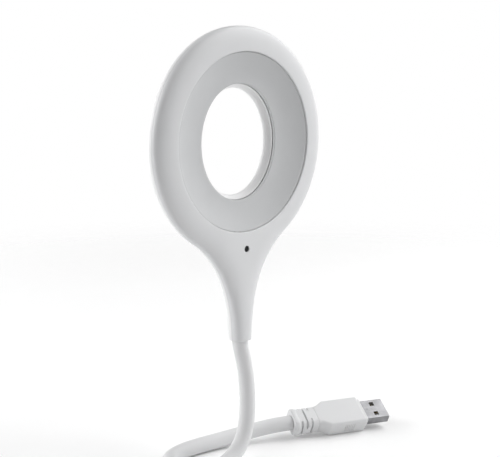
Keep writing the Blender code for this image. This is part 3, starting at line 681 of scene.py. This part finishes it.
def make_leds():
    """Twelve packages on the ring board, each with a round well of yellow phosphor."""
    leds = sorted(node for node in frame["nodes"] if node.startswith("led_") and node[4:].isdigit())
    half_w, half_h = mm(1.4, 1.75)
    for node in leds:
        low, high = node_frame(node)
        centre = (low + high) / 2
        angle = math.atan2(centre.x, centre.z)
        top, foot = low.y, high.y
        turn = Matrix.Translation((centre.x, 0, centre.z)) @ Matrix.Rotation(angle, 4, "Y")
        package = box_mesh((-half_w, top, -half_h), (half_w, foot, half_h), 0.12 * MM, 2)
        well = turned([(1.1 * MM, top - 0.1 * MM), (0.95 * MM, top + 0.25 * MM)], sides=24)
        head_piece(f"{node}_package", package, "led", "led", node, cuts=[well], turn=turn)
        fill_r = 0.92 * MM
        fill = [
            (AXIS, top + 0.06 * MM), (0.5 * MM, top + 0.07 * MM), (fill_r, top + 0.12 * MM),
            (fill_r, top + 0.24 * MM), (AXIS, top + 0.24 * MM),
        ]
        head_piece(f"{node}_phosphor", turned(fill, sides=24), "phosphor", "led", turn=turn)


def make_chip(node, legs_each_side):
    """A moulded package with its gull-wing legs."""
    low, high = node_frame(node)
    mark = turned([(0.25 * MM, low.y - 0.1 * MM), (0.25 * MM, low.y + 0.1 * MM)], sides=16)
    mark.transform(Matrix.Translation((low.x + 0.6 * MM, 0, high.z - 0.6 * MM)))
    head_piece(f"{node}_package", box_mesh(low, high, 0.15 * MM), "chip", "chip", node, cuts=[mark])
    pitch = (high.z - low.z) / (legs_each_side + 0.5)
    thick, half_w = mm(0.15, 0.2)
    mid = (low.y + high.y) / 2
    bm = bmesh.new()
    for side, edge in ((-1, low.x), (1, high.x)):
        knee, foot = edge + side * 0.35 * MM, edge + side * 0.8 * MM
        for k in range(legs_each_side):
            z = low.z + pitch * (k + 0.75)
            for start, end in (
                ((edge - side * 0.1 * MM, mid), (knee, mid + thick)),
                ((knee - side * thick, mid), (knee, high.y)),
                ((knee - side * thick, high.y - thick), (foot, high.y)),
            ):
                corner = (min(start[0], end[0]), start[1], z - half_w)
                other = (max(start[0], end[0]), end[1], z + half_w)
                bm.from_mesh(box_mesh(corner, other, 0.03 * MM, 1))
    legs = bpy.data.meshes.new("legs")
    bm.to_mesh(legs)
    bm.free()
    head_piece(f"{node}_legs", legs, "tinned", "steel")


def make_small_parts():
    """The chips, the resistor and the capacitor with its cross-scored vent."""
    make_chip("voice_chip", 4)
    make_chip("led_driver", 2)
    low, high = node_frame("resistor")
    head_piece("resistor_body", box_mesh(low, high, 0.08 * MM), "ceramic", "ceramic", "resistor")
    low, high = node_frame("capacitor")
    radius = (high.x - low.x) / 2
    can = [
        (AXIS, low.y), (0.8 * radius, low.y), (radius - 0.15 * MM, low.y + 0.03 * MM),
        (radius, low.y + 0.2 * MM), (radius, high.y - 1.0 * MM), (radius - 0.2 * MM, high.y - 0.85 * MM),
        (radius - 0.2 * MM, high.y - 0.65 * MM), (radius, high.y - 0.5 * MM), (radius, high.y),
        (AXIS, high.y),
    ]
    x, z = (low.x + high.x) / 2, (low.z + high.z) / 2
    vents = [
        box_mesh((x - w, low.y - 0.2 * MM, z - h), (x + w, low.y + 0.1 * MM, z + h))
        for w, h in (mm(0.9, 0.06), mm(0.06, 0.9))
    ]
    head_piece("capacitor_can", turned(can, (x, 0, z), sides=40), "can", "can", "capacitor", cuts=vents)


# ---- the arm

def clamped_spline(points, start_direction, end_direction):
    """Smooth curve through the points, leaving and arriving in the two directions."""
    chords = np.linalg.norm(np.diff(points, axis=0), axis=1)
    count = len(points)
    system = np.zeros((count, count))
    right = np.zeros((count, 3))
    slopes = np.diff(points, axis=0) / chords[:, None]
    system[0, 0], system[0, 1] = 2 * chords[0], chords[0]
    right[0] = 6 * (slopes[0] - start_direction)
    system[-1, -1], system[-1, -2] = 2 * chords[-1], chords[-1]
    right[-1] = 6 * (end_direction - slopes[-1])
    for i in range(1, count - 1):
        system[i, i - 1] = chords[i - 1]
        system[i, i] = 2 * (chords[i - 1] + chords[i])
        system[i, i + 1] = chords[i]
        right[i] = 6 * (slopes[i] - slopes[i - 1])
    bends = np.linalg.solve(system, right)
    samples = []
    for i, chord in enumerate(chords):
        for b in np.linspace(0, 1, 60, endpoint=False):
            a = 1 - b
            samples.append(
                a * points[i] + b * points[i + 1]
                + ((a ** 3 - a) * bends[i] + (b ** 3 - b) * bends[i + 1]) * chord ** 2 / 6
            )
    samples.append(points[-1])
    return np.array(samples)


class Arm:
    """The arm's centre line by distance from the plug, with straight runs into the plug and the neck."""

    def __init__(self):
        foot = np.array((HEAD.x, HEAD.y, 0))
        self.start, self.end = np.array(ROUTE_START), np.array(ROUTE_END)
        self.samples = clamped_spline(np.array(ROUTE) * MM, self.start, self.end) + foot
        steps = np.linalg.norm(np.diff(self.samples, axis=0), axis=1)
        self.distances = np.concatenate([[0], np.cumsum(steps)])
        self.length = float(self.distances[-1])

    def point(self, distance):
        """The centre line's point at a distance."""
        if distance < 0:
            return self.samples[0] + self.start * distance
        if distance > self.length:
            return self.samples[-1] + self.end * (distance - self.length)
        return np.array([np.interp(distance, self.distances, self.samples[:, i]) for i in range(3)])

    def direction(self, distance):
        """The centre line's direction at a distance."""
        step = 0.15 * MM
        along = self.point(distance + step) - self.point(distance - step)
        return along / np.linalg.norm(along)

    def nearest(self, place):
        """Distance along the arm of the place nearest to a point."""
        return float(self.distances[np.linalg.norm(self.samples - place, axis=1).argmin()])

    def frames(self, places):
        """Point, side and up at each distance. The side never twists, so stretches meet exactly."""
        frames = []
        for place in places:
            along = self.direction(place)
            side = np.cross(along, self.reference(place))
            side /= np.linalg.norm(side)
            frames.append((self.point(place), side, np.cross(side, along)))
        return frames

    @staticmethod
    def reference(place):
        """A direction that is never along the arm: up beside the table, and aside along the riser."""
        share = np.clip((place - RISER_START) / RISER_TURN, 0, 1)
        share = share * share * (3 - 2 * share)
        return np.array((-share, 0, 1 - share))


def places_between(start, end, step):
    """Distances from start to end, with a very short first and last step to square the ends to the line."""
    count = max(3, round((end - start) / step) + 1)
    inner = [start + (end - start) * i / (count - 1) for i in range(1, count - 1)]
    return [start, start + END_STEP, *inner, end - END_STEP, end]


def off_centre(frame_there, angle, radius):
    """A point beside the arm's centre line."""
    point, side, up = frame_there
    return point + (side * math.cos(angle) + up * math.sin(angle)) * radius


def tube(arm, start, end, outer, inner, sides=TUBE_SIDES, step=TUBE_STEP):
    """A pipe along the arm. outer(distance, angle) is its radius; inner is its bore."""
    places = places_between(start, end, step)
    angles = turns_round(sides)
    frames = arm.frames(places)
    rows = [[off_centre(there, a, outer(place, a)) for a in angles] for place, there in zip(places, frames)]
    rows += [[off_centre(there, a, inner) for a in angles] for there in reversed(frames)]
    return grid(rows, wrap=True)


def wire(arm, start, end, phase):
    """One of the two twisted power wires."""
    pitch, offset = mm(14, 0.62)
    places = places_between(start, end, 1.2 * MM)
    rows = []
    for place, there in zip(places, arm.frames(places)):
        _, side, up = there
        centre = off_centre(there, 2 * math.pi * place / pitch + phase, offset)
        rows.append([off_centre((centre, side, up), a, WIRE_R) for a in turns_round(12)])
    return grid(rows)


def make_arm(arm):
    """Sleeve, spiral core and wires, in stretches that meet halfway between the joints. Each holds one joint."""
    joints = frame["joints"]
    spots = [arm.nearest(np.array(joint["pos_m"])) for joint in joints]
    middles = [(a + b) / 2 for a, b in zip(spots, spots[1:])]
    starts = [0.0] + middles
    ends = middles + [arm.length]
    bead_from_end = 1.1 * MM
    spiral_pitch = 1.15 * MM

    def sleeve_radius(place, _angle):
        bead = math.exp(-((arm.length - bead_from_end - place) / (0.35 * MM)) ** 2)
        return SLEEVE_R + 0.14 * MM * bead

    def core_radius(place, angle):
        return CORE_R - 0.13 * MM * (1 + math.cos(2 * math.pi * place / spiral_pitch - angle))

    for i, (joint, spot, start, end) in enumerate(zip(joints, spots, starts, ends)):
        first, last = i == 0, i == len(joints) - 1
        sleeve_start = GAP / 2 if first else start
        sleeve_end = end - GAP / 2 if last else end
        core_start = -PLUG_INSERT if first else start
        core_end = end + COLLAR_INSERT if last else end
        number = f"{i + 1:02d}"
        below, above = number, f"{i + 2:02d}"
        sleeve = object_from(
            f"sleeve_stretch_{number}",
            tube(arm, sleeve_start, sleeve_end, sleeve_radius, SLEEVE_R - SLEEVE_WALL),
            "sleeve",
        )
        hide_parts(f"arm_sleeve_{below}", f"arm_sleeve_{above}")
        core = object_from(
            f"core_stretch_{number}",
            tube(arm, core_start, core_end, core_radius, CORE_R - CORE_WALL, sides=16, step=0.29 * MM),
            "core", degrees=60,
        )
        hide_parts(f"arm_core_{below}", f"arm_core_{above}")
        pieces = [sleeve, core]
        for label, material, phase in (("red", "lead", 0.0), ("black", "lead_dark", math.pi)):
            run = object_from(
                f"wire_{label}_stretch_{number}", wire(arm, core_start, core_end, phase), material,
            )
            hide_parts("arm_lead")
            pieces.append(run)
        half = min(spot - (sleeve_start if first else start), end - spot)
        clear = 0.4 * MM if first else 1.9 * MM
        for piece in pieces:
            arm.point(spot - half + clear)
            arm.point(spot + half - clear)
            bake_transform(piece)


# ---- the plug

def plug_frame(arm):
    """The plug's own frame: x along it from the strain relief's end, z out of its top face."""
    mounts = {mount["name"]: mount for mount in frame["record"]["mounts"]}
    top = Vector(mounts["usb_shell_top"]["pos_m"])
    under = Vector(mounts["usb_shell_under"]["pos_m"])
    start = Vector(arm.point(0))
    along = ((top + under) / 2 - start).normalized()
    up = Vector(mounts["usb_shell_top"]["axis"])
    up = (up - along * up.dot(along)).normalized()
    matrix = Matrix((along, up.cross(along), up)).transposed().to_4x4()
    return Matrix.Translation(start) @ matrix


def rounded_section(half_w, half_h, radius, steps=8, flat=14):
    """(y, z) points round a rectangle with round corners, with points along its flats too."""
    points = []
    corners = ((1, 1, 0), (-1, 1, 90), (-1, -1, 180), (1, -1, 270))
    for (sy, sz, first), (next_sy, next_sz, _) in zip(corners, corners[1:] + corners[:1]):
        cy, cz = sy * (half_w - radius), sz * (half_h - radius)
        for k in range(steps + 1):
            angle = math.radians(first + 90 * k / steps)
            points.append((cy + radius * math.cos(angle), cz + radius * math.sin(angle)))
        y, z = points[-1]
        angle = math.radians(first + 90)
        end_y = next_sy * (half_w - radius) + radius * math.cos(angle)
        end_z = next_sz * (half_h - radius) + radius * math.sin(angle)
        for k in range(1, flat):
            share = k / flat
            points.append((y + (end_y - y) * share, z + (end_z - z) * share))
    return np.array(points)


def section_row(x, section):
    """A section's (y, z) points at a place along the plug."""
    return np.stack([np.full(len(section), x), section[:, 0], section[:, 1]], axis=1)


def window(value, low, high, soft):
    """1 between low and high and 0 outside, with soft edges."""
    rise = np.clip((value - low) / soft + 0.5, 0, 1)
    fall = np.clip((high - value) / soft + 0.5, 0, 1)
    return rise * fall


def plug_loft(stations, relief=None, steps=8):
    """A solid through rounded sections along the plug, as (x, half width, half height, corner radius).

    relief(x, y, z) is how deep the surface is pressed in at a point of a section.
    """
    rows = []
    for x, half_w, half_h, radius in stations:
        section = rounded_section(half_w, half_h, radius, steps)
        if relief is not None:
            depth = relief(x, section[:, 0], section[:, 1])
            section = section - sideways(section) * depth[:, None]
        rows.append(section_row(x, section))
    return grid(rows)


def fine_stations(knots, long_run, long_count):
    """Sections between the knots: long_count of them in any stretch longer than long_run, else three."""
    stations = []
    for first, last in zip(knots, knots[1:]):
        count = long_count if last[0] - first[0] > long_run else 3
        stations += [tuple(a + (b - a) * k / count for a, b in zip(first, last)) for k in range(count)]
    return stations + [knots[-1]]


def x_bore(radius, start, end):
    """A round hole along the plug."""
    return turned([(radius, start), (radius, end)], axis="x", sides=40)


def make_strain_relief():
    """Flanged at the arm's end. Slots 1 and 3 go round the sides, slot 2 goes over and under."""
    slot_half, depth, soft = mm(0.42, 1.25, 0.7)
    places = mm(3.9, 6.5, 9.1)

    def pressed(x, y, z):
        total = np.zeros(len(y))
        for index, place in enumerate(places):
            across = float(window(x, place - slot_half, place + slot_half, 0.16 * MM))
            if index % 2:
                around = 1 - window(z, -3.3 * MM, 0.9 * MM, soft)
            else:
                around = window(z, -6 * MM, 4.2 * MM, soft) * (np.abs(y) > 2.6 * MM)
            total += depth * across * around
        return total

    knots = [
        mm(0.05, 5.5, 4.3, 2.8),
        mm(0.15, 5.85, 4.65, 3.0),
        mm(0.5, 6.05, 4.85, 3.1),
        mm(1.9, 6.1, 4.85, 3.1),
        mm(2.35, 5.95, 4.7, 3.0),
        mm(2.7, 5.78, 4.5, 2.9),
        (RELIEF_END - 0.2 * MM, *mm(5.7, 4.15, 2.2)),
        (RELIEF_END - 0.02 * MM, *mm(5.6, 4.05, 2.1)),
    ]
    stations = fine_stations(knots, 3 * MM, 170)
    sleeve_seat = x_bore(SLEEVE_R - SLEEVE_WALL + 0.2 * MM, -1 * MM, 0.3 * MM)
    relief = object_from("slotted_strain_relief", plug_loft(stations, pressed, steps=12), "overmould")
    cut(relief, x_bore(LEAD_BORE_R, -1 * MM, 15 * MM), sleeve_seat)
    return relief, "white_plastic", "strain_relief"


def make_overmould():
    """The plug's body: a chamfered shoulder, soft edges and fine grip ridges on both narrow sides."""
    half_w, half_h = OVERMOULD_HALF
    ridge_start, ridge_end, pitch, ridge_depth = mm(25.6, 31.3, 0.95, 0.34)

    def pressed(x, y, z):
        if not ridge_start < x < ridge_end:
            return np.zeros(len(y))
        wave = 0.5 - 0.5 * math.cos(2 * math.pi * (x - ridge_start) / pitch)
        side = window(z, *mm(-2.7, 1.9, 0.7)) * (np.abs(y) > half_w - 0.4 * MM)
        return ridge_depth * wave * side

    knots = [
        (RELIEF_END + 0.02 * MM, *mm(5.6, 4.0, 1.9)),
        (RELIEF_END + 0.2 * MM, *mm(5.7, 4.08, 1.9)),
        (RELIEF_END + 1.7 * MM, 5.78 * MM, half_h, 1.7 * MM),
        (RELIEF_END + 2.4 * MM, 6.0 * MM, half_h, 1.6 * MM),
        (SHOULDER_END - 1.1 * MM, half_w - 0.55 * MM, half_h, 1.2 * MM),
        (SHOULDER_END - 0.3 * MM, half_w - 0.12 * MM, half_h, 1.1 * MM),
        (SHOULDER_END + 0.4 * MM, half_w, half_h, 1.1 * MM),
        (OVERMOULD_END - 0.9 * MM, half_w, half_h, 1.1 * MM),
        (OVERMOULD_END - 0.45 * MM, half_w - 0.12 * MM, half_h - 0.12 * MM, 1.05 * MM),
        (OVERMOULD_END - 0.12 * MM, half_w - 0.42 * MM, half_h - 0.42 * MM, 0.9 * MM),
        (OVERMOULD_END, half_w - 0.85 * MM, half_h - 0.85 * MM, 0.7 * MM),
    ]
    stations = fine_stations(knots, 10 * MM, 200)
    pocket = box_mesh(
        (SHELL_BACK - 2.5 * MM, -SHELL_HALF[0] - GAP, -SHELL_HALF[1] - GAP),
        (SHELL_TIP, SHELL_HALF[0] + GAP, SHELL_HALF[1] + GAP),
    )
    body = object_from("plug_body", plug_loft(stations, pressed), "overmould")
    cut(body, x_bore(LEAD_BORE_R, RELIEF_END - 2 * MM, SHELL_BACK), pocket)
    return body, "white_plastic", "plug_overmould"


def make_plug_lip():
    """The bright lip in front of the plug's body, round the shell's root."""
    w, h = SHELL_HALF[0] + 0.9 * MM, SHELL_HALF[1] + 0.9 * MM
    back, front = OVERMOULD_END + 0.05 * MM, COLLAR_FRONT
    stations = [
        (back, w - 0.12 * MM, h - 0.12 * MM, 0.7 * MM),
        (back + 0.12 * MM, w, h, 0.8 * MM),
        (front - 0.35 * MM, w, h, 0.8 * MM),
        (front - 0.1 * MM, w - 0.1 * MM, h - 0.1 * MM, 0.75 * MM),
        (front, w - 0.35 * MM, h - 0.35 * MM, 0.6 * MM),
    ]
    clear, corner = mm(0.08, 0.6)
    hole = plug_loft([
        (x, SHELL_HALF[0] + clear, SHELL_HALF[1] + clear, corner) for x in (back - 1 * MM, front + 1 * MM)
    ])
    lip = object_from("plug_lip", plug_loft(stations), "overmould")
    cut(lip, hole)
    return lip, "white_plastic", "plug_collar"


def make_usb_shell():
    """Folded steel: an eased mouth, two windows in each broad face, a crimp mark on top and a seam below."""
    half_w, half_h = SHELL_HALF
    corner, mouth_ease = mm(0.62, 0.1)

    def sections(inset, ease):
        radius = corner - inset
        w, h = half_w - inset, half_h - inset
        return [
            (SHELL_BACK, w, h, radius),
            (SHELL_TIP - 0.35 * MM, w, h, radius),
            (SHELL_TIP - 0.12 * MM, w - 0.3 * ease, h - 0.3 * ease, radius),
            (SHELL_TIP, w - ease, h - ease, radius),
        ]

    outside, inside = sections(0.0, mouth_ease), sections(SHELL_WALL, -mouth_ease)
    rows = [section_row(x, rounded_section(w, h, radius, 8, 6)) for x, w, h, radius in outside + inside[::-1]]
    shell = object_from("usb_plug_shell", grid(rows, wrap=True), "steel", degrees=45)
    window_x, window_y, window_half, through = COLLAR_FRONT + 6 * MM, 3.1 * MM, 1.2 * MM, 4 * MM
    tools = []
    for y in (-window_y, window_y):
        low = (window_x - window_half, y - window_half, -through)
        high = (window_x + window_half, y + window_half, through)
        tools.append(box_mesh(low, high, 0.25 * MM))
    crimp_depth = 0.16 * MM
    for x, y, w, h in ((40.9, 0.0, 0.55, 0.8), (42.1, 0.75, 0.3, 0.3), (42.1, -0.75, 0.3, 0.3)):
        tools.append(box_mesh(
            ((x - w / 2) * MM, (y - h / 2) * MM, half_h - crimp_depth),
            ((x + w / 2) * MM, (y + h / 2) * MM, half_h + 1 * MM),
            0.1 * MM, 1,
        ))
    seam = 0.05 * MM
    tools.append(box_mesh(
        (SHELL_BACK - 1 * MM, -seam, -half_h - 1 * MM), (SHELL_TIP + 1 * MM, seam, -half_h + 0.1 * MM),
    ))
    cut(shell, *tools)
    return shell, "steel", "usb_shell"


def make_tongue():
    """The insert with a channel for each contact."""
    half_w, low_z, high_z = mm(5.35, -1.6, 0.3)
    block = box_mesh((SHELL_BACK - 1 * MM, -half_w, low_z), (SHELL_TIP - 0.6 * MM, half_w, high_z), 0.18 * MM)
    tongue = object_from("usb_plug_tongue", block, "insert")
    channel_half, floor, front = 0.62, 0.12 * MM, SHELL_TIP - 1.0 * MM
    cut(tongue, *(
        box_mesh(
            (front - length * MM, (y - channel_half) * MM, floor), (front, (y + channel_half) * MM, 1 * MM),
            0.05 * MM, 1,
        )
        for y, length in ((-3.5, 9.3), (-1.0, 8.3), (1.0, 8.3), (3.5, 9.3))
    ))
    return tongue, "insert", "usb_tongue"


def make_plug(arm):
    """Build the plug's pieces along +X and bring them to the plug's place."""
    place = plug_frame(arm)
    for make in (make_strain_relief, make_overmould, make_plug_lip, make_usb_shell, make_tongue):
        obj, slot, node = make()
        obj.data.transform(place)
        finish_piece(obj, "plug", slot, node)


# ---- nodes that stay as the frame has them

KEPT = {
    "light_board": "board", "control_board": "board",
    "light_lead_plus": "lead", "light_lead_minus": "lead_dark",
    "neck_ferrule": "steel", "plug_ferrule": "steel",
    "contact_power": "gold", "contact_ground": "gold",
    "contact_data_minus": "gold", "contact_data_plus": "gold",
}


def dress_kept_nodes():
    """Give these nodes their finish."""
    for node, key in KEPT.items():
        obj = frame["nodes"][node]
        obj.data.materials.clear()
        obj.data.materials.append(MATERIALS[key])


# ---- stage and light

def make_floor():
    """A pale floor round the lamp, which fades into the white beyond it."""
    half, solid, gone = 0.8, 0.35, 0.7
    corners = [(-half, -half, 0), (half, -half, 0), (half, half, 0), (-half, half, 0)]
    mesh = bpy.data.meshes.new("floor")
    mesh.from_pydata(corners, [], [(0, 1, 2, 3)])
    floor = add_object("floor", mesh)
    material, tree, shader = new_material("pale_floor")
    set_sockets(shader, Base_Color=(0.93, 0.93, 0.93, 1), Roughness=0.9, Specular_IOR_Level=0.1)
    place = tree.nodes.new("ShaderNodeTexCoord")
    reach = tree.nodes.new("ShaderNodeVectorMath")
    reach.operation = "LENGTH"
    fade = tree.nodes.new("ShaderNodeMapRange")
    fade.interpolation_type = "SMOOTHSTEP"
    set_sockets(fade, From_Min=solid, From_Max=gone, To_Min=1.0, To_Max=0.0)
    tree.links.new(place.outputs["Object"], reach.inputs[0])
    tree.links.new(reach.outputs["Value"], fade.inputs["Value"])
    tree.links.new(fade.outputs["Result"], shader.inputs["Alpha"])
    mesh.materials.append(material)


def make_area(name, place, size, power, target):
    """A square soft light that faces the target."""
    data = bpy.data.lights.new(name, "AREA")
    data.shape = "SQUARE"
    data.size = size
    data.energy = power
    light = add_object(name, data)
    light.location = place
    aim(light, Vector(target) - Vector(place))


def make_world(strength):
    """White all round to look at, and softer than that as a light."""
    world = bpy.data.worlds.new("studio")
    world.use_nodes = True
    tree = world.node_tree
    lit = tree.nodes["Background"]
    set_sockets(lit, Color=(1, 1, 1, 1), Strength=strength)
    seen = tree.nodes.new("ShaderNodeBackground")
    set_sockets(seen, Color=(1, 1, 1, 1), Strength=1.0)
    path = tree.nodes.new("ShaderNodeLightPath")
    mix = tree.nodes.new("ShaderNodeMixShader")
    tree.links.new(path.outputs["Is Camera Ray"], mix.inputs["Fac"])
    tree.links.new(lit.outputs[0], mix.inputs[1])
    tree.links.new(seen.outputs[0], mix.inputs[2])
    tree.links.new(mix.outputs[0], tree.nodes["World Output"].inputs["Surface"])
    bpy.context.scene.world = world


def make_light():
    """Seven large soft lights, placed by their angle from the camera's side and their height."""
    make_world(0.09)
    middle = Vector((HEAD.x, HEAD.y, HEAD.z * 0.7))
    away, size, above_table = 1.0, 0.7, 0.1
    for name, from_camera, height, power in (
        ("right_low", 135, 10, 1.8),
        ("right_high", 135, 45, 3.4),
        ("side_high", 90, 45, 5.1),
        ("side_low", 90, 10, 3.4),
        ("front_left", -45, 35, 3.1),
        ("left_side", -90, 20, 5.4),
        ("left_low", -135, 10, 3.2),
    ):
        round_z, rise = CAMERA_AZIMUTH - math.radians(from_camera), math.radians(height)
        place = Vector((
            -math.sin(round_z) * math.cos(rise) * away,
            -math.cos(round_z) * math.cos(rise) * away,
            math.sin(rise) * away + above_table,
        ))
        make_area(name, place, size, power, middle)
    bpy.context.scene.view_settings.view_transform = "Standard"


# ---- all together

MATERIALS = make_materials()
make_camera()
ARM = Arm()
make_front_shell()
make_rear_shell()
make_diffuser_cone()
make_microphone()
make_leds()
make_small_parts()
make_arm(ARM)
make_plug(ARM)
dress_kept_nodes()
make_floor()
make_light()
